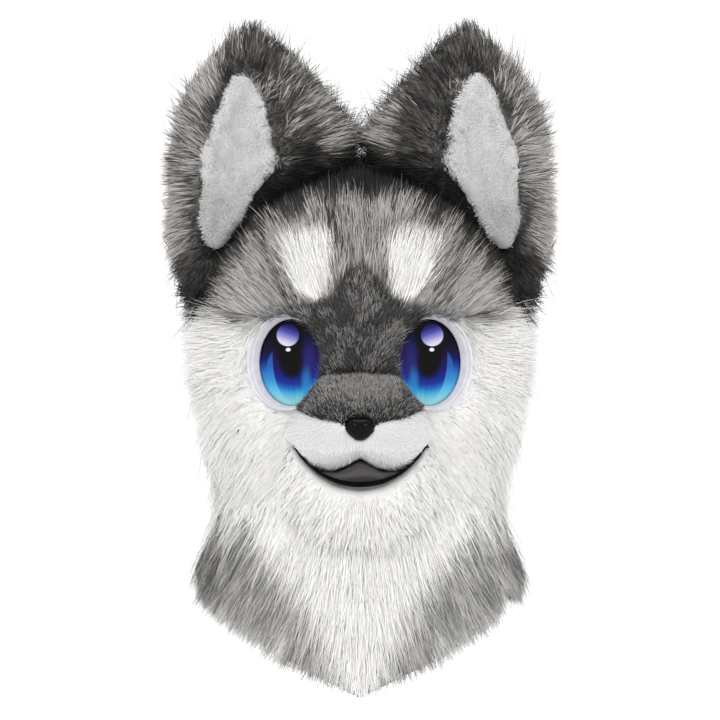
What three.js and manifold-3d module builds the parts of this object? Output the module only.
// A husky fursuit head: a hollow foam head under fur panels, with eyes, ears, a muzzle and a neck skirt.
// Millimetres, +Z up. The origin is the wearer's crown, the face looks towards -Y and +X is the left side.
import * as THREE from "three";
import { mergeVertices } from "three/addons/utils/BufferGeometryUtils.js";
import Module from "manifold-3d";

const wasm = await Module();
wasm.setup();

// Clearance between neighbouring pieces
const fit = 0.3;
// Clearance of long fur round the mouth's pieces
const furFit = 0.9;

// Foam head
const foamWall = 22;
const foamEdgeWall = 12;
const thinFrom = 0.55;
const headHalfWidth = 125;
const headFront = 124;
const headBack = 136;
const headHeight = 262;
const headRoundness = 0.92;
const headColumns = 20;
const headRows = 8;

// Fur length on the foam, root to tip
const cheekFur = 27;
const faceFur = 6;
const napeFur = 20;
const crownFur = 14;
const jawlineFur = 12;
const neckFur = 21;
const bibFur = 24;
const maskFur = 5;
const headLocks = 15;
const headTiers = 5;
const crownTiers = 3;
const neckLocks = 14;
const neckTiers = 3;
const neckColumns = 20;
const neckRows = 3;
const earTiers = 4;

// Plane that parts the front fur panels from the back ones
const sideSeam = 20;

// Glue seams of the foam, which is built up from panels
const crownSeamDrop = 62;
const faceSeam = -42;
const backSeam = 48;

// Neck skirt
const skirtCloth = 2;
const skirtHalfWidth = 121;
const skirtFront = 112;
const skirtBack = 120;
const bibDrop = 160;

// Eyes, their middles above the foam's lower edge
const eyeRise = 106;
const eyeSpread = 58;
const eyeTurn = THREE.MathUtils.degToRad(25);
const eyeHalfWidth = 34;
const eyeHalfHeight = 38;
const eyeProud = 3;
const eyeWall = 2;
const irisHalfWidth = 27.5;
const irisHalfHeight = 34.5;
const irisInset = 2.8;
const irisRecess = 9;
const irisPlate = 1.5;
const irisLip = 2;
const eyeSides = 18;

// Muzzle, mouth and nose: the mouth's corners above the foam's lower edge, the rest above the corners
const mouthRise = 42;
const muzzleMiddleRise = 8;
const muzzleTopRise = 58;
const noseRise = 13;
const muzzleHalfWidth = 59;
const muzzleRoot = -98;
const muzzleProud = 68;
const muzzleSlope = 46;
const muzzleSteepness = 2.2;
const mouthHalfWidth = 53;
const lobeDrop = 24;
const smileDrop = 36;
const liningHalfWidth = 45.5;
const liningProud = 42;
const lipProud = 54;
const lipThickness = 4.8;
const lipThin = 1.4;
const jawHalfWidth = 57;
const jawProud = 51;
const jawDepth = 34;
const jawRise = 34;
const jawRoot = 0.3;
const planSquareness = 2.6;
const frontSquareness = 0.8;
const smileRoundness = 0.8;
const noseHalfWidth = 12.5;
const noseHalfHeight = 10;
const noseLength = 17;
const noseRoot = -152;

// Ears
const earBottom = -92;
const earTop = 133;
const earOuter = 155;
const earInner = 1.5;
const earDepth = 78;
const earLean = 10;
const earBack = -30;
const earCup = 24;
const earLockRise = 7;
const earTipRise = 4;
const cupMargin = 3;
const rimLeast = 8;
const cupFade = 0.06;
const cupRoundness = 0.8;
const liningPad = 4;
const liningEdge = 1.2;
const liningStart = 0.08;

// Markings in the front view, above the middles of the eyes
const crownEdgeRise = 50;
const maskRise = 76;
const browRise = 78;
const browSpread = 38;
const browHalfWidth = 20;
const browHalfHeight = 34;
const browLean = THREE.MathUtils.degToRad(-9);
const browSides = 12;

// Foam sections from the crown to the lower edge, shares of the head's height, half width, front and back
const headSections = [
  { down: 0, width: 0, front: 0, back: 0 },
  { down: 0.03, width: 0.36, front: 0.31, back: 0.38 },
  { down: 0.11, width: 0.66, front: 0.61, back: 0.7 },
  { down: 0.23, width: 0.87, front: 0.83, back: 0.9 },
  { down: 0.38, width: 0.975, front: 0.955, back: 0.985 },
  { down: 0.53, width: 1, front: 1, back: 1 },
  { down: 0.67, width: 0.98, front: 0.985, back: 0.965 },
  { down: 0.8, width: 0.93, front: 0.93, back: 0.91 },
  { down: 0.91, width: 0.885, front: 0.86, back: 0.87 },
  { down: 1, width: 0.86, front: 0.8, back: 0.86 },
];

// Cheek fur from the crown to the lower edge, a share of its longest length
const cheekSwell = [
  { fur: 0.5 },
  { fur: 0.6 },
  { fur: 0.85 },
  { fur: 1 },
  { fur: 0.95 },
  { fur: 0.7 },
  { fur: 0.42 },
];

// Hem of the neck skirt from the front round to the back, a share of the bib's drop
const hemDrops = [
  { drop: 1 },
  { drop: 0.79 },
  { drop: 0.62 },
  { drop: 0.5 },
  { drop: 0.5 },
  { drop: 0.53 },
  { drop: 0.54 },
];

// One lock of fur from its root to its tip, on its crest and in the valley beside it
const lockStages = [
  { crestReach: 0, crestRise: 0.62, valleyReach: 0, valleyRise: 0.62 },
  { crestReach: 0.5, crestRise: 0.96, valleyReach: 0.4, valleyRise: 0.72 },
  { crestReach: 0.97, crestRise: 1, valleyReach: 0.78, valleyRise: 0.66 },
];

// Upper lip from the middle to a corner, a share of the lobes' drop below the corner
const upperLip = [{ drop: 0.5 }, { drop: 0.86 }, { drop: 1 }, { drop: 0.72 }, { drop: 0 }];

// Ear sections from the bottom to the tip, shares of the ear's height, outer reach and depth
const earSections = [
  { up: 0, outer: 0.9, inner: 0.8, depth: 0.55 },
  { up: 0.15, outer: 0.985, inner: 0.6, depth: 0.85 },
  { up: 0.31, outer: 1, inner: 0.36, depth: 1 },
  { up: 0.45, outer: 1, inner: 0.13, depth: 1 },
  { up: 0.54, outer: 0.995, inner: 0.03, depth: 0.97 },
  { up: 0.62, outer: 0.985, inner: 0.02, depth: 0.9 },
  { up: 0.7, outer: 0.96, inner: 0.08, depth: 0.8 },
  { up: 0.79, outer: 0.91, inner: 0.17, depth: 0.67 },
  { up: 0.88, outer: 0.83, inner: 0.28, depth: 0.52 },
  { up: 0.95, outer: 0.74, inner: 0.39, depth: 0.38 },
  { up: 1, outer: 0.62, inner: 0.52, depth: 0.2 },
];

// Inner panel of the ear from its bottom to its apex, shares of the ear's height and outer reach
const panelSections = [
  { up: 0.235, outer: 0.75, inner: 0.745, cup: 0.15 },
  { up: 0.3, outer: 0.79, inner: 0.68, cup: 0.5 },
  { up: 0.385, outer: 0.81, inner: 0.56, cup: 0.8 },
  { up: 0.47, outer: 0.815, inner: 0.44, cup: 1 },
  { up: 0.54, outer: 0.8, inner: 0.43, cup: 1 },
  { up: 0.64, outer: 0.755, inner: 0.46, cup: 0.85 },
  { up: 0.74, outer: 0.69, inner: 0.52, cup: 0.6 },
  { up: 0.83, outer: 0.625, inner: 0.615, cup: 0.2 },
];

// Heights of the foam's crown and lower edge, and of the face's parts above that edge
const crownHeight = foamWall;
const collarHeight = crownHeight - headHeight;
const mouthCorner = collarHeight + mouthRise;
const muzzleMiddle = mouthCorner + muzzleMiddleRise;
const noseHeight = mouthCorner + noseRise;
const muzzleTop = mouthCorner + muzzleTopRise;
const eyeHeight = collarHeight + eyeRise;
const crownEdge = eyeHeight + crownEdgeRise;
const maskTop = eyeHeight + maskRise;
const browHeight = eyeHeight + browRise;

// Outlines of the markings, right of the middle, shares of the named reach and drop below it
const maskReach = 76;
const maskDepth = 96;
const maskOutline = [
  { across: 0, down: 0 },
  { across: 0.2, down: 0.14 },
  { across: 0.27, down: 0.28 },
  { across: 0.5, down: 0.36 },
  { across: 0.95, down: 0.36 },
  { across: 1, down: 0.42 },
  { across: 0.6, down: 0.85 },
  { across: 0.4, down: 1 },
  { across: 0, down: 1 },
];
const bridgeReach = 58;
const bridgeDepth = 44;
const bridgeOutline = [
  { across: 0, down: -0.4 },
  { across: 1.2, down: -0.4 },
  { across: 1.2, down: 0.5 },
  { across: 0.97, down: 0.62 },
  { across: 0.56, down: 0.86 },
  { across: 0.22, down: 0.96 },
  { across: 0, down: 0.97 },
];
const bibReach = 116;
const bibOutline = [
  { across: 0, down: -0.2 },
  { across: 1, down: -0.2 },
  { across: 1, down: 0.03 },
  { across: 0.8, down: 0.17 },
  { across: 0.62, down: 0.34 },
  { across: 0.53, down: 0.55 },
  { across: 0.5, down: 0.75 },
  { across: 0.4, down: 1.2 },
  { across: 0, down: 1.2 },
];
const crownEdgeReach = 145;
const crownEdgeSag = 14;
const crownOutline = [
  { across: 0, down: 0.2 },
  { across: 0.35, down: 0.6 },
  { across: 0.58, down: 1 },
  { across: 1, down: 0 },
  { across: 1.4, down: -0.6 },
  { across: 1.4, down: -12 },
  { across: 0, down: -12 },
];

// Where the tiers start and end, shares of the way down the foam or the skirt
const downwardSpan = [0.16, 1];
const upwardSpan = [0.5, 0.14];
const neckSpan = [0, 1];

// Shares of the way down between which one fur length passes into the next
const jawlineStart = 0.8;
const templeStart = 0.2;
const templeEnd = 0.42;
const neckStart = -0.3;
const neckEnd = 0.7;

const farOut = 400;
const beyond = 12;
const turn = 2 * Math.PI;

// Reads a table of evenly spaced rows at any share of its length
function readTable(rows) {
  const columns = Object.keys(rows[0]);
  const places = rows.map((row, index) => index / (rows.length - 1));
  const values = rows.flatMap((row) => columns.map((name) => row[name]));
  const curve = new THREE.CubicInterpolant(places, values, columns.length);
  return (share) => {
    const found = curve.evaluate(THREE.MathUtils.clamp(share, 0, 1));
    return Object.fromEntries(columns.map((name, index) => [name, found[index]]));
  };
}

// Share along a table at which one of its rising columns reaches a value
function findShare(read, column, value) {
  let low = 0;
  let high = 1;
  for (let step = 0; step < 30; step += 1) {
    const middle = (low + high) / 2;
    if (read(middle)[column] < value) {
      low = middle;
    } else {
      high = middle;
    }
  }
  return (low + high) / 2;
}

const headAt = readTable(headSections);
const swellAt = readTable(cheekSwell);
const hemAt = readTable(hemDrops);
const upperLipAt = readTable(upperLip);
const earAt = readTable(earSections);
const panelAt = readTable(panelSections);

// Turns a closed indexed geometry into a solid that can be cut and joined
function solidOf(geometry) {
  geometry.deleteAttribute("normal");
  geometry.deleteAttribute("uv");
  const merged = mergeVertices(geometry);
  const vertProperties = new Float32Array(merged.attributes.position.array);
  const triVerts = new Uint32Array(merged.index.array);
  return new wasm.Manifold(new wasm.Mesh({ numProp: 3, vertProperties, triVerts }));
}

// Solid through a stack of loops with equal point counts, closed by a fan at each end or joined end to end
function loftSolid(loops, { looped = false, startPoint, endPoint } = {}) {
  const count = loops[0].length;
  const points = loops.flat();
  const faces = [];
  const bands = looped ? loops.length : loops.length - 1;
  for (let band = 0; band < bands; band += 1) {
    const here = band * count;
    const next = ((band + 1) % loops.length) * count;
    for (let side = 0; side < count; side += 1) {
      const after = (side + 1) % count;
      faces.push([here + side, here + after, next + after]);
      faces.push([here + side, next + after, next + side]);
    }
  }
  if (!looped) {
    const last = (loops.length - 1) * count;
    points.push(startPoint ?? middleOf(loops[0]));
    points.push(endPoint ?? middleOf(loops[loops.length - 1]));
    for (let side = 0; side < count; side += 1) {
      const after = (side + 1) % count;
      faces.push([after, side, points.length - 2]);
      faces.push([last + side, last + after, points.length - 1]);
    }
  }
  const outward = volumeOf(points, faces) > 0;
  const geometry = new THREE.BufferGeometry().setFromPoints(points);
  geometry.setIndex(faces.flatMap((face) => (outward ? face : [face[0], face[2], face[1]])));
  return solidOf(geometry);
}

function middleOf(points) {
  const middle = new THREE.Vector3();
  points.forEach((point) => middle.add(point));
  return middle.divideScalar(points.length);
}

function volumeOf(points, faces) {
  const cross = new THREE.Vector3();
  return faces.reduce((sum, [a, b, c]) => {
    return sum + points[a].dot(cross.crossVectors(points[b], points[c]));
  }, 0);
}

// Upright prism through the whole depth of the front, from an outline in the front view
function frontPrism(outline) {
  const shape = new THREE.Shape(outline);
  const geometry = new THREE.ExtrudeGeometry(shape, { depth: farOut, bevelEnabled: false });
  geometry.rotateX(Math.PI / 2);
  geometry.translate(0, sideSeam, 0);
  return solidOf(geometry);
}

// Moves an outline's points outwards by a distance
function growOutline(outline, distance) {
  const facing = THREE.ShapeUtils.isClockWise(outline) ? -1 : 1;
  return outline.map((point, index) => {
    const before = outline[(index + outline.length - 1) % outline.length];
    const after = outline[(index + 1) % outline.length];
    const first = point.clone().sub(before).normalize();
    const second = after.clone().sub(point).normalize();
    const mean = first.clone().add(second).normalize();
    const widened = (facing * distance) / Math.max(mean.dot(first), 0.5);
    return new THREE.Vector2(point.x + mean.y * widened, point.y - mean.x * widened);
  });
}

// Whole outline from the rows of its right half
function mirroredOutline(rows, reach, top, depth) {
  const right = rows.map((row) => new THREE.Vector2(row.across * reach, top - row.down * depth));
  const left = right
    .filter((point) => point.x > 0)
    .map((point) => new THREE.Vector2(-point.x, point.y))
    .reverse();
  return [...right, ...left];
}

function block(low, high) {
  const size = high.clone().sub(low);
  const geometry = new THREE.BoxGeometry(size.x, size.y, size.z);
  geometry.translate(low.x + size.x / 2, low.y + size.y / 2, low.z + size.z / 2);
  return solidOf(geometry);
}

// Point on an oval of the head or neck, its angle counted from the front towards the left side
function ovalPoint(angle, halfWidth, front, back, height) {
  const across = Math.sin(angle);
  const ahead = Math.cos(angle);
  const x = halfWidth * Math.sign(across) * Math.abs(across) ** headRoundness;
  const reach = ahead > 0 ? front : back;
  const y = -reach * Math.sign(ahead) * Math.abs(ahead) ** headRoundness;
  return new THREE.Vector3(x, y, height);
}

function headSurface(angle, along) {
  const section = headAt(along);
  const height = crownHeight - section.down * headHeight;
  return ovalPoint(
    angle,
    section.width * headHalfWidth,
    section.front * headFront,
    section.back * headBack,
    height,
  );
}

function hemHeight(angle) {
  const fromFront = Math.abs(Math.atan2(Math.sin(angle), Math.cos(angle))) / Math.PI;
  return collarHeight - bibDrop * hemAt(fromFront).drop;
}

// The skirt's outer face, from the foam's lower edge to the hem
function neckSurface(angle, along) {
  const collar = headSurface(angle, 1);
  const hem = ovalPoint(angle, skirtHalfWidth, skirtFront, skirtBack, hemHeight(angle));
  return new THREE.Vector3(
    THREE.MathUtils.lerp(collar.x, hem.x, along),
    THREE.MathUtils.lerp(collar.y, hem.y, along),
    THREE.MathUtils.lerp(collar.z, hem.z, along),
  );
}

// Point that stands off a surface by a distance along its normal
function standOff(surface, angle, along, distance) {
  const step = 0.004;
  const across = surface(angle + step, along).sub(surface(angle - step, along));
  const above = surface(angle, Math.max(along - step, 0));
  const down = surface(angle, Math.min(along + step, 1)).sub(above);
  const normal = down.cross(across);
  if (normal.length() < 1e-6) {
    normal.set(0, 0, 1);
  }
  return surface(angle, along).addScaledVector(normal.normalize(), distance);
}

function headLoop(along, distance) {
  const loop = [];
  for (let column = 0; column < headColumns; column += 1) {
    loop.push(standOff(headSurface, (turn * column) / headColumns, along, distance));
  }
  return loop;
}

// The head's plain form, grown or shrunk by a distance, and carried on below its lower edge by an overrun
function headForm(distanceAt, overrun = 0) {
  const loops = [];
  for (let row = 1; row <= headRows; row += 1) {
    loops.push(headLoop(row / headRows, distanceAt(row / headRows)));
  }
  if (overrun > 0) {
    loops.push(loops[loops.length - 1].map((point) => point.clone().setZ(point.z - overrun)));
  }
  return loftSolid(loops, { startPoint: new THREE.Vector3(0, 0, crownHeight + distanceAt(0)) });
}

// The skirt's form, grown or shrunk by a distance and carried on past both ends
function neckForm(distance, overrun) {
  const loops = [];
  for (let row = 0; row <= neckRows; row += 1) {
    const loop = [];
    for (let column = 0; column < neckColumns; column += 1) {
      const angle = (turn * column) / neckColumns;
      loop.push(standOff(neckSurface, angle, row / neckRows, distance));
    }
    loops.push(loop);
  }
  if (overrun > 0) {
    loops.unshift(loops[0].map((point) => point.clone().setZ(point.z + overrun)));
    loops.push(loops[loops.length - 1].map((point) => point.clone().setZ(point.z - overrun)));
  }
  return loftSolid(loops);
}

// Tiers of overlapping locks round a surface, each tier's tips between the tips above them
function lockForm({ surface, locks, tiers, span, furAt, startPoint }) {
  const [from, to] = span;
  const loops = [];
  const columns = 2 * locks;
  for (let tier = 0; tier < tiers; tier += 1) {
    for (const stage of lockStages) {
      const loop = [];
      for (let column = 0; column < columns; column += 1) {
        const crest = (column + tier) % 2 === 0;
        const reach = crest ? stage.crestReach : stage.valleyReach;
        const rise = crest ? stage.crestRise : stage.valleyRise;
        const along = THREE.MathUtils.lerp(from, to, (tier + reach) / tiers);
        const angle = (turn * column) / columns;
        loop.push(standOff(surface, angle, along, rise * furAt(angle, along)));
      }
      loops.push(loop);
    }
  }
  const edge = [];
  for (let column = 0; column < columns; column += 1) {
    const angle = (turn * column) / columns;
    edge.push(standOff(surface, angle, to, lockStages[0].crestRise * furAt(angle, to)));
  }
  loops.push(edge);
  return from < to ? loftSolid(loops, { startPoint }) : loftSolid(loops, { endPoint: startPoint });
}

function headFurLength(angle, along) {
  const side = Math.sin(angle) ** 2;
  const ahead = Math.max(Math.cos(angle), 0) ** 2;
  const behind = Math.max(-Math.cos(angle), 0) ** 2;
  const cheek = cheekFur * swellAt(along).fur;
  const lower = THREE.MathUtils.smoothstep(along, jawlineStart, 1);
  const front = THREE.MathUtils.lerp(faceFur, jawlineFur, lower);
  return cheek * side + front * ahead + napeFur * behind;
}

function crownFurLength(angle, along) {
  const towardsCheek = Math.sin(angle) ** 2 * THREE.MathUtils.smoothstep(along, templeStart, templeEnd);
  return THREE.MathUtils.lerp(crownFur, cheekFur * swellAt(along).fur, towardsCheek);
}

function neckFurLength(angle, along) {
  const ahead = Math.max(Math.cos(angle), 0) ** 2;
  const top = headFurLength(angle, 1);
  const full = THREE.MathUtils.lerp(neckFur, bibFur, ahead);
  return THREE.MathUtils.lerp(top, full, THREE.MathUtils.smoothstep(along, neckStart, neckEnd));
}

const crownTip = new THREE.Vector3(0, 0, crownHeight + crownFur);

function downwardFur() {
  return lockForm({
    surface: headSurface,
    locks: headLocks,
    tiers: headTiers,
    span: downwardSpan,
    furAt: headFurLength,
    startPoint: crownTip,
  });
}

function upwardFur() {
  return lockForm({
    surface: headSurface,
    locks: headLocks,
    tiers: crownTiers,
    span: upwardSpan,
    furAt: crownFurLength,
    startPoint: crownTip,
  });
}

function neckLockFur() {
  return lockForm({
    surface: neckSurface,
    locks: neckLocks,
    tiers: neckTiers,
    span: neckSpan,
    furAt: neckFurLength,
  });
}

// Depth of the foam's face at a place in the front view
function faceDepth(x, height) {
  const along = findShare(headAt, "down", (crownHeight - height) / headHeight);
  const section = headAt(along);
  const across = Math.min(Math.abs(x) / (section.width * headHalfWidth), 1) ** (1 / headRoundness);
  return -section.front * headFront * Math.sqrt(1 - across ** 2) ** headRoundness;
}

// An eye's own frame: X across towards the nose side, Y inwards and Z up, on the foam's face
function eyeFrame(side) {
  const place = new THREE.Vector3(side * eyeSpread, faceDepth(eyeSpread, eyeHeight), eyeHeight);
  const turned = new THREE.Matrix4().makeRotationZ(side * eyeTurn);
  return turned.setPosition(place);
}

function eyeOval(halfWidth, halfHeight, shift, depth) {
  const loop = [];
  for (let side = 0; side < eyeSides; side += 1) {
    const angle = (turn * side) / eyeSides;
    loop.push(new THREE.Vector3(shift + halfWidth * Math.sin(angle), depth, halfHeight * Math.cos(angle)));
  }
  return loop;
}

function placed(loops, matrix) {
  return loops.map((loop) => loop.map((point) => point.clone().applyMatrix4(matrix)));
}

function eyeSocket(side) {
  const loops = [-2 * foamWall, 3 * foamWall].map((depth) => {
    return eyeOval(eyeHalfWidth + fit, eyeHalfHeight + fit, 0, depth);
  });
  return loftSolid(placed(loops, eyeFrame(side)));
}

// White bowl that slopes in from the socket's edge to the iris
function eyeWhite(side) {
  const shift = -side * irisInset;
  const slope = [
    { inward: 0, depth: 0 },
    { inward: 0.45, depth: 0.35 },
    { inward: 1, depth: 1 },
  ];
  const front = slope.map(({ inward, depth }) => {
    return eyeOval(
      THREE.MathUtils.lerp(eyeHalfWidth, irisHalfWidth, inward),
      THREE.MathUtils.lerp(eyeHalfHeight, irisHalfHeight, inward),
      shift * inward,
      depth * irisRecess - eyeProud,
    );
  });
  const back = front.map((loop) => loop.map((point) => point.clone().setY(point.y + eyeWall)));
  return loftSolid(placed([...front, ...back.reverse()], eyeFrame(side)), { looped: true });
}

// Printed mesh plate that the wearer sees through, seated behind the white's inner edge
function eyeIris(side) {
  const depth = irisRecess - eyeProud + eyeWall + fit;
  const loops = [depth, depth + irisPlate].map((place) => {
    return eyeOval(irisHalfWidth + irisLip, irisHalfHeight + irisLip, -side * irisInset, place);
  });
  return loftSolid(placed(loops, eyeFrame(side)));
}

function upperLipHeight(x) {
  return mouthCorner - lobeDrop * upperLipAt(Math.abs(x) / mouthHalfWidth).drop;
}

function lowerLipHeight(x) {
  const across = Math.min(Math.abs(x) / mouthHalfWidth, 1);
  return mouthCorner - smileDrop * (1 - across ** 2) ** smileRoundness;
}

function lipHeightAt(x) {
  const across = Math.min(Math.abs(x) / mouthHalfWidth, 1);
  return THREE.MathUtils.lerp(lipThickness, lipThin, across ** 2);
}

// Rounded form that stands out of the face, lofted across, with its top and bottom from the front view
function bulge({ halfWidth, columns, topAt, bottomAt, middleAt, proud, angles, grow }) {
  const loops = [];
  for (let column = 0; column <= columns; column += 1) {
    const across = -Math.cos((Math.PI * column) / columns);
    const top = topAt(halfWidth * across) + 2 * grow;
    const bottom = bottomAt(halfWidth * across) - 2 * grow;
    const middle = middleAt(top, bottom);
    const x = (halfWidth + grow) * across;
    const reach = (proud + grow) * Math.sqrt(Math.max(1 - Math.abs(across) ** planSquareness, 0));
    const loop = angles.map((degrees) => {
      const angle = THREE.MathUtils.degToRad(degrees);
      const rise = Math.sin(angle) * (angle > 0 ? top - middle : middle - bottom);
      return new THREE.Vector3(x, muzzleRoot - reach * Math.cos(angle) ** frontSquareness, middle + rise);
    });
    loop.push(new THREE.Vector3(x, 0, bottom));
    loop.unshift(new THREE.Vector3(x, 0, top));
    loops.push(loop);
  }
  return loftSolid(loops);
}

const roundAngles = [90, 62, 34, 8, -25, -60, -90];
const shallowAngles = [90, 45, 0, -45, -90];

function muzzleForm(grow) {
  return bulge({
    halfWidth: muzzleHalfWidth,
    columns: 14,
    topAt: (x) => muzzleTop - muzzleSlope * Math.abs(x / muzzleHalfWidth) ** muzzleSteepness,
    bottomAt: upperLipHeight,
    middleAt: () => muzzleMiddle,
    proud: muzzleProud,
    angles: roundAngles,
    grow,
  });
}

function liningForm(grow) {
  return bulge({
    halfWidth: liningHalfWidth,
    columns: 8,
    topAt: (x) => upperLipHeight(x) - fit,
    bottomAt: (x) => lowerLipHeight(x) + fit,
    middleAt: (top, bottom) => (top + bottom) / 2,
    proud: liningProud,
    angles: shallowAngles,
    grow,
  });
}

function lipForm(grow) {
  return bulge({
    halfWidth: mouthHalfWidth,
    columns: 10,
    topAt: (x) => Math.min(lowerLipHeight(x), upperLipHeight(x) - fit),
    bottomAt: (x) => lowerLipHeight(x) - lipHeightAt(x),
    middleAt: (top, bottom) => (top + bottom) / 2,
    proud: lipProud,
    angles: shallowAngles,
    grow,
  });
}

function jawForm(grow) {
  return bulge({
    halfWidth: jawHalfWidth,
    columns: 10,
    topAt: (x) => lowerLipHeight(x) - lipHeightAt(x) - fit,
    bottomAt: (x) => mouthCorner - smileDrop - jawDepth + jawRise * (x / jawHalfWidth) ** 2,
    middleAt: (top, bottom) => THREE.MathUtils.lerp(top, bottom, jawRoot),
    proud: jawProud,
    angles: roundAngles,
    grow,
  });
}

// Rounded triangle of a nose, broad at the top
function noseForm(grow) {
  const stages = [
    { out: 0, size: 0.7 },
    { out: 0.25, size: 0.95 },
    { out: 0.5, size: 1 },
    { out: 0.75, size: 0.86 },
    { out: 0.93, size: 0.5 },
  ];
  const sides = 14;
  const loops = stages.map(({ out, size }) => {
    const loop = [];
    for (let side = 0; side < sides; side += 1) {
      const angle = (turn * side) / sides;
      const halfWidth = noseHalfWidth * size + grow;
      const halfHeight = noseHalfHeight * size + grow;
      const x = halfWidth * Math.sin(angle) * (1 + 0.24 * Math.cos(angle));
      const z = noseHeight + halfHeight * Math.cos(angle);
      loop.push(new THREE.Vector3(x, noseRoot - out * (noseLength + grow), z));
    }
    return loop;
  });
  return loftSolid(loops, { endPoint: new THREE.Vector3(0, noseRoot - noseLength - grow, noseHeight) });
}

// Where the ear's panel starts and ends across, and how deep its cup is, at a share of the ear's height
function cupAt(up) {
  const first = panelSections[0].up;
  const last = panelSections[panelSections.length - 1].up;
  const panel = panelAt(findShare(panelAt, "up", THREE.MathUtils.clamp(up, first, last)));
  const outside = Math.max(first - up, up - last, 0);
  return { ...panel, cup: panel.cup * Math.max(1 - outside / cupFade, 0) };
}

// Front-to-back place of the ear's middle at a share of its height
function earMiddle(up) {
  return earBack + earLean * up;
}

// One level loop of the ear: round behind, with rims in front that turn in to the cup
function earLoop(along, lift, grow) {
  const section = earAt(along);
  const up = section.up;
  const outer = section.outer * earOuter;
  const inner = Math.max(section.inner * earOuter, earInner);
  const halfWidth = (outer - inner) / 2;
  const centre = (outer + inner) / 2;
  const halfDepth = (section.depth * earDepth) / 2;
  const middle = earMiddle(up);
  const cup = cupAt(up);
  const cupOuter = Math.min(cup.outer * earOuter + cupMargin, outer - rimLeast);
  const cupInner = Math.max(cup.inner * earOuter - cupMargin, inner + rimLeast);
  const points = [];
  const backSteps = 9;
  for (let step = 0; step < backSteps; step += 1) {
    const angle = (Math.PI * step) / backSteps;
    const x = centre + halfWidth * Math.cos(angle);
    points.push({ x, y: middle + halfDepth * Math.sin(angle), ruff: 1 });
  }
  const rimSteps = 3;
  for (let step = 0; step < rimSteps; step += 1) {
    const angle = (Math.PI / 2) * (step / rimSteps);
    const x = THREE.MathUtils.lerp(cupInner, inner, Math.cos(angle));
    points.push({ x, y: middle - halfDepth * Math.sin(angle), ruff: 1 });
  }
  const cupSteps = 4;
  for (let step = 0; step <= cupSteps; step += 1) {
    const share = step / cupSteps;
    const sink = cup.cup * earCup * Math.sin(Math.PI * share) ** cupRoundness;
    const x = THREE.MathUtils.lerp(cupInner, cupOuter, share);
    points.push({ x, y: middle - halfDepth + sink, ruff: 0 });
  }
  for (let step = rimSteps - 1; step > 0; step -= 1) {
    const angle = (Math.PI / 2) * (step / rimSteps);
    const x = THREE.MathUtils.lerp(cupOuter, outer, Math.cos(angle));
    points.push({ x, y: middle - halfDepth * Math.sin(angle), ruff: 1 });
  }
  const height = THREE.MathUtils.lerp(earBottom, earTop, up);
  return points.map((point, index) => {
    const away = new THREE.Vector2(point.x - centre, point.y - middle).normalize();
    const rise = point.ruff ? lift(index) : 0;
    const push = point.ruff ? rise + grow : 0;
    const x = Math.max(point.x + away.x * push, earInner - grow);
    const y = point.y + away.y * push - (point.ruff ? 0 : grow);
    return new THREE.Vector3(x, y, height);
  });
}

// Ear with tiers of locks that point to its tip
function earForm(side, grow) {
  const loops = [];
  for (let tier = 0; tier < earTiers; tier += 1) {
    for (const stage of lockStages) {
      const along = (tier + (stage.crestReach + stage.valleyReach) / 2) / earTiers;
      const lift = (index) => {
        const crest = (index + tier) % 2 === 0;
        return earLockRise * ((crest ? stage.crestRise : stage.valleyRise) - 1);
      };
      loops.push(earLoop(along, lift, grow));
    }
  }
  loops.push(earLoop(1, () => -earLockRise / 2, grow));
  const tip = middleOf(loops[loops.length - 1]);
  tip.z += earTipRise + grow;
  const mirrored = loops.map((loop) => loop.map((point) => point.clone().setX(side * point.x)));
  return loftSolid(mirrored, { endPoint: tip.setX(side * tip.x) });
}

// Short-pile pad in the ear's cup, cut to the ear behind it
function earLiningForm(side, grow) {
  const rows = 6;
  const loops = [];
  for (let row = 0; row <= rows; row += 1) {
    const panel = panelAt(row / rows);
    const up = panel.up;
    const halfDepth = (earAt(findShare(earAt, "up", up)).depth * earDepth) / 2;
    const height = THREE.MathUtils.lerp(earBottom, earTop, up);
    const steps = 4;
    const front = [];
    const back = [];
    for (let step = 0; step <= steps; step += 1) {
      const share = step / steps;
      const x = THREE.MathUtils.lerp(panel.inner * earOuter - grow, panel.outer * earOuter + grow, share);
      const within = THREE.MathUtils.lerp(liningStart, 1 - liningStart, share);
      const sink = panel.cup * earCup * Math.sin(Math.PI * within) ** cupRoundness;
      const face = earMiddle(up) - halfDepth + sink;
      const crown = liningEdge + (liningPad - liningEdge) * Math.sin(Math.PI * share);
      front.push(new THREE.Vector3(side * x, face - crown - grow, height));
      back.push(new THREE.Vector3(side * x, face + liningPad + grow, height));
    }
    loops.push([...front, ...back.reverse()]);
  }
  return loftSolid(loops);
}

// Cuts a solid by others and keeps its main body
function cutBy(body, ...cutters) {
  const cut = cutters.reduce((rest, cutter) => rest.subtract(cutter), body);
  return mainBody(cut);
}

function mainBody(body) {
  const parts = body.decompose();
  return parts.reduce((best, part) => (part.volume() > best.volume() ? part : best));
}

const pointGap = 0.02;
const sliverHeight = 0.004;

// Welds points that a cut leaves closer than the point gap, and drops the faces that close up
function weldFaces(points, faces) {
  const kept = points.map((point, index) => index);
  const find = (index) => (kept[index] === index ? index : find(kept[index]));
  for (const face of faces) {
    for (let side = 0; side < 3; side += 1) {
      const here = find(face[side]);
      const next = find(face[(side + 1) % 3]);
      if (here !== next && points[here].distanceTo(points[next]) < pointGap) {
        kept[Math.max(here, next)] = Math.min(here, next);
      }
    }
  }
  return faces
    .map((face) => face.map(find))
    .filter(([a, b, c]) => a !== b && b !== c && c !== a);
}

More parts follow.
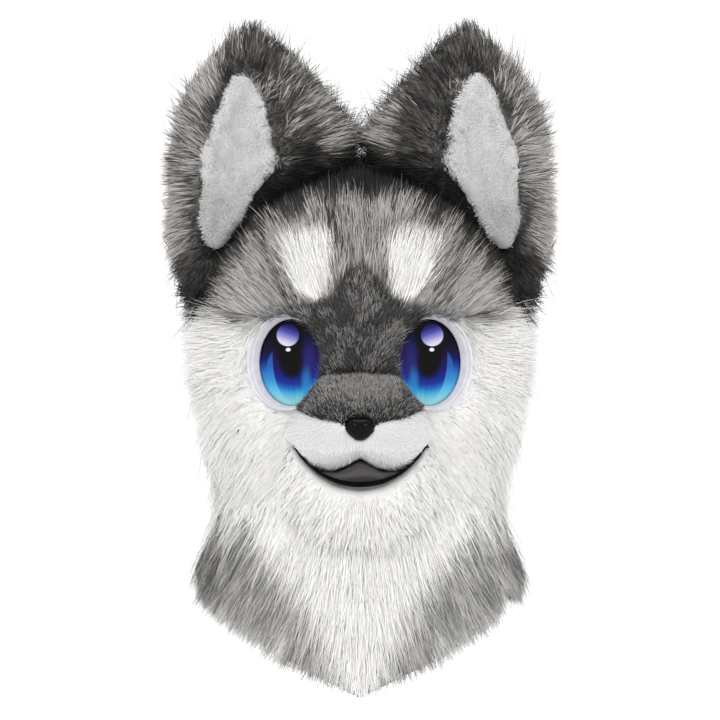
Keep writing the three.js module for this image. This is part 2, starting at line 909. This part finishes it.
// Turns the long side of each sliver, so that its neighbour takes up the sliver's area
function turnSlivers(points, faces) {
  const owners = new Map();
  faces.forEach((face, index) => {
    face.forEach((from, side) => owners.set(`${from} ${face[(side + 1) % 3]}`, index));
  });
  const changed = new Set();
  faces.forEach((face, index) => {
    const lengths = face.map((from, side) => points[from].distanceTo(points[face[(side + 1) % 3]]));
    const longest = lengths.indexOf(Math.max(...lengths));
    const [a, b, c] = [0, 1, 2].map((step) => face[(longest + step) % 3]);
    const area = new THREE.Triangle(points[a], points[b], points[c]).getArea();
    const neighbour = owners.get(`${b} ${a}`);
    if ((2 * area) / lengths[longest] > sliverHeight || changed.has(index) || changed.has(neighbour)) {
      return;
    }
    const d = faces[neighbour].find((point) => point !== a && point !== b);
    if (owners.has(`${c} ${d}`) || owners.has(`${d} ${c}`)) {
      return;
    }
    faces[index] = [a, d, c];
    faces[neighbour] = [d, b, c];
    changed.add(index).add(neighbour);
  });
}

function meshOf(name, body, { color, roughness, metalness = 0 }) {
  const { vertProperties, triVerts } = body.getMesh();
  const points = [];
  for (let start = 0; start < vertProperties.length; start += 3) {
    points.push(new THREE.Vector3().fromArray(vertProperties, start));
  }
  const corners = Array.from(triVerts);
  const faces = weldFaces(
    points,
    corners.filter((_, index) => index % 3 === 0).map((_, face) => corners.slice(3 * face, 3 * face + 3)),
  );
  for (let pass = 0; pass < 4; pass += 1) {
    turnSlivers(points, faces);
  }
  const geometry = new THREE.BufferGeometry().setFromPoints(points);
  geometry.setIndex(faces.flat());
  const welded = mergeVertices(geometry.toNonIndexed());
  welded.computeVertexNormals();
  const material = new THREE.MeshStandardMaterial({ color, roughness, metalness });
  const mesh = new THREE.Mesh(welded, material);
  mesh.name = name;
  return mesh;
}

const finishes = {
  foam: { color: 0x3b3d40, roughness: 0.95 },
  lycra: { color: 0x2b2c2e, roughness: 0.8 },
  greyFur: { color: 0x8f8a86, roughness: 1 },
  darkPile: { color: 0x514e4c, roughness: 1 },
  bridgePile: { color: 0x7a7674, roughness: 1 },
  whiteFur: { color: 0xeceae6, roughness: 1 },
  whitePile: { color: 0xdedcda, roughness: 1 },
  earPile: { color: 0xd3d0d1, roughness: 1 },
  eyePlastic: { color: 0xe6e3ea, roughness: 0.4 },
  irisMesh: { color: 0x24459c, roughness: 0.6 },
  noseResin: { color: 0x101011, roughness: 0.15 },
  lipVinyl: { color: 0x0c0b0c, roughness: 0.4 },
  mouthFelt: { color: 0x565150, roughness: 0.9 },
};

const sides = [
  { name: "left", side: 1 },
  { name: "right", side: -1 },
];

const frontHalf = block(
  new THREE.Vector3(-farOut, -farOut, -farOut - headHeight),
  new THREE.Vector3(farOut, sideSeam, farOut),
);
const backHalf = block(
  new THREE.Vector3(-farOut, sideSeam + fit, -farOut - headHeight),
  new THREE.Vector3(farOut, farOut, farOut),
);

function halfOn(side) {
  const low = new THREE.Vector3(side > 0 ? fit / 2 : -farOut, -farOut, -farOut - headHeight);
  const high = new THREE.Vector3(side > 0 ? farOut : -fit / 2, farOut, farOut);
  return block(low, high);
}

function browOutline(side, grow) {
  const outline = [];
  for (let step = 0; step < browSides; step += 1) {
    const angle = (turn * step) / browSides;
    const point = new THREE.Vector2(
      (browHalfWidth + grow) * Math.sin(angle),
      (browHalfHeight + grow) * Math.cos(angle),
    );
    point.rotateAround(new THREE.Vector2(), side * browLean);
    outline.push(point.add(new THREE.Vector2(side * browSpread, browHeight)));
  }
  return outline;
}

const maskShape = mirroredOutline(maskOutline, maskReach, maskTop, maskDepth);
const bridgeShape = mirroredOutline(bridgeOutline, bridgeReach, muzzleTop, bridgeDepth);
const bibShape = mirroredOutline(bibOutline, bibReach, collarHeight, bibDrop);
const crownShape = mirroredOutline(crownOutline, crownEdgeReach, crownEdge, crownEdgeSag);

const headOverFoam = headForm(() => fit, beyond);
const neckOverCloth = neckForm(fit, beyond);
const sockets = sides.map(({ side }) => eyeSocket(side));
const earCutters = sides.map(({ side }) => earForm(side, fit));
const liningCutters = sides.map(({ side }) => earLiningForm(side, fit));
const mouthCutters = [muzzleForm(furFit), jawForm(furFit), lipForm(furFit), liningForm(furFit)];
const browCutters = sides.map(({ side }) => frontPrism(browOutline(side, fit)));
const maskCutter = frontPrism(growOutline(maskShape, fit));
const collarPlane = block(
  new THREE.Vector3(-farOut, -farOut, collarHeight - fit / 2),
  new THREE.Vector3(farOut, farOut, farOut),
);
const belowCollar = block(
  new THREE.Vector3(-farOut, -farOut, -farOut - headHeight),
  new THREE.Vector3(farOut, farOut, collarHeight - fit),
);

const seam = fit / 2;
const crownSeam = crownHeight - crownSeamDrop;
const foamPanels = [
  { name: "foam_crown", y: [-farOut, farOut], z: [crownSeam + seam, farOut] },
  { name: "foam_face", y: [-farOut, faceSeam - seam], z: [-farOut, crownSeam - seam] },
  { name: "foam_back", y: [backSeam + seam, farOut], z: [-farOut, crownSeam - seam] },
  { name: "foam_left", x: [0, farOut], y: [faceSeam + seam, backSeam - seam], z: [-farOut, crownSeam - seam] },
  { name: "foam_right", x: [-farOut, 0], y: [faceSeam + seam, backSeam - seam], z: [-farOut, crownSeam - seam] },
];

function headShell() {
  const wallAt = (along) => {
    const thinning = THREE.MathUtils.smoothstep(along, thinFrom, 1);
    return -THREE.MathUtils.lerp(foamWall, foamEdgeWall, thinning);
  };
  const edge = headLoop(1, wallAt(1));
  const exit = loftSolid([
    edge.map((point) => point.clone().setZ(collarHeight + beyond / 2)),
    edge.map((point) => point.clone().setZ(collarHeight - beyond)),
  ]);
  return cutBy(headForm(() => 0), headForm(wallAt), exit, ...sockets);
}

function neckSkirt() {
  const outside = neckForm(0, 0).intersect(belowCollar);
  return cutBy(outside, neckForm(-skirtCloth, beyond));
}

const meshes = [];

function add(name, body, finish) {
  meshes.push(meshOf(name, body, finishes[finish]));
}

const downFur = downwardFur().subtract(headOverFoam).intersect(collarPlane);
const upFur = upwardFur().subtract(headOverFoam);
const lowerFur = neckLockFur().subtract(neckOverCloth).intersect(belowCollar);
const crownPrism = frontPrism(crownShape);
const crownCutter = frontPrism(growOutline(crownShape, fit));

const shell = headShell();
for (const { name, x = [-farOut, farOut], y, z } of foamPanels) {
  const panel = block(new THREE.Vector3(x[0], y[0], z[0]), new THREE.Vector3(x[1], y[1], z[1]));
  add(name, mainBody(shell.intersect(panel)), "foam");
}
add("neck_skirt", neckSkirt(), "lycra");
const crownCuts = [maskCutter, ...browCutters, ...earCutters, ...liningCutters];
add("crown_fur", cutBy(upFur.intersect(crownPrism), ...crownCuts), "greyFur");
add("back_fur", cutBy(downFur.intersect(backHalf), ...earCutters), "greyFur");

const shortFur = headForm(() => maskFur + fit).subtract(headOverFoam);
const maskBody = shortFur.intersect(frontPrism(maskShape));
add("face_mask", cutBy(maskBody, ...sockets, ...browCutters, ...mouthCutters), "darkPile");

const muzzleBody = cutBy(muzzleForm(0), headOverFoam, ...sockets, noseForm(fit));
add("muzzle", cutBy(muzzleBody, frontPrism(growOutline(bridgeShape, fit))), "whitePile");
add("muzzle_bridge", mainBody(muzzleBody.intersect(frontPrism(bridgeShape))), "bridgePile");
add("mouth_lining", cutBy(liningForm(0), headOverFoam, muzzleForm(fit), lipForm(fit)), "mouthFelt");
add("lip", cutBy(lipForm(0), headOverFoam, muzzleForm(fit)), "lipVinyl");
add("jaw", cutBy(jawForm(0), headOverFoam, neckOverCloth, lipForm(fit)), "whitePile");
add("nose", noseForm(0), "noseResin");

const bibPrism = frontPrism(bibShape);
const bibCutter = frontPrism(growOutline(bibShape, fit));
add("bib_fur", cutBy(lowerFur.intersect(bibPrism), ...mouthCutters), "whiteFur");
add("neck_fur_back", mainBody(lowerFur.intersect(backHalf)), "greyFur");

sides.forEach(({ name, side }, index) => {
  const half = halfOn(side);
  const cheek = downFur.intersect(frontHalf).intersect(half);
  const cuts = [crownCutter, maskCutter, ...browCutters, ...sockets, ...mouthCutters, ...earCutters];
  add(`cheek_fur_${name}`, cutBy(cheek, ...cuts), "whiteFur");
  const neck = lowerFur.intersect(frontHalf).intersect(half);
  add(`neck_fur_${name}`, cutBy(neck, bibCutter, ...mouthCutters), "greyFur");
  const spot = upFur.intersect(frontPrism(browOutline(side, 0)));
  add(`brow_spot_${name}`, cutBy(spot, ...earCutters, ...sockets), "whiteFur");
  add(`ear_${name}`, cutBy(earForm(side, 0), headOverFoam), "greyFur");
  add(`ear_lining_${name}`, cutBy(earLiningForm(side, 0), earCutters[index]), "earPile");
  add(`eye_white_${name}`, eyeWhite(side), "eyePlastic");
  add(`eye_iris_${name}`, eyeIris(side), "irisMesh");
});

const group = new THREE.Group();
group.add(...meshes);

export default group;
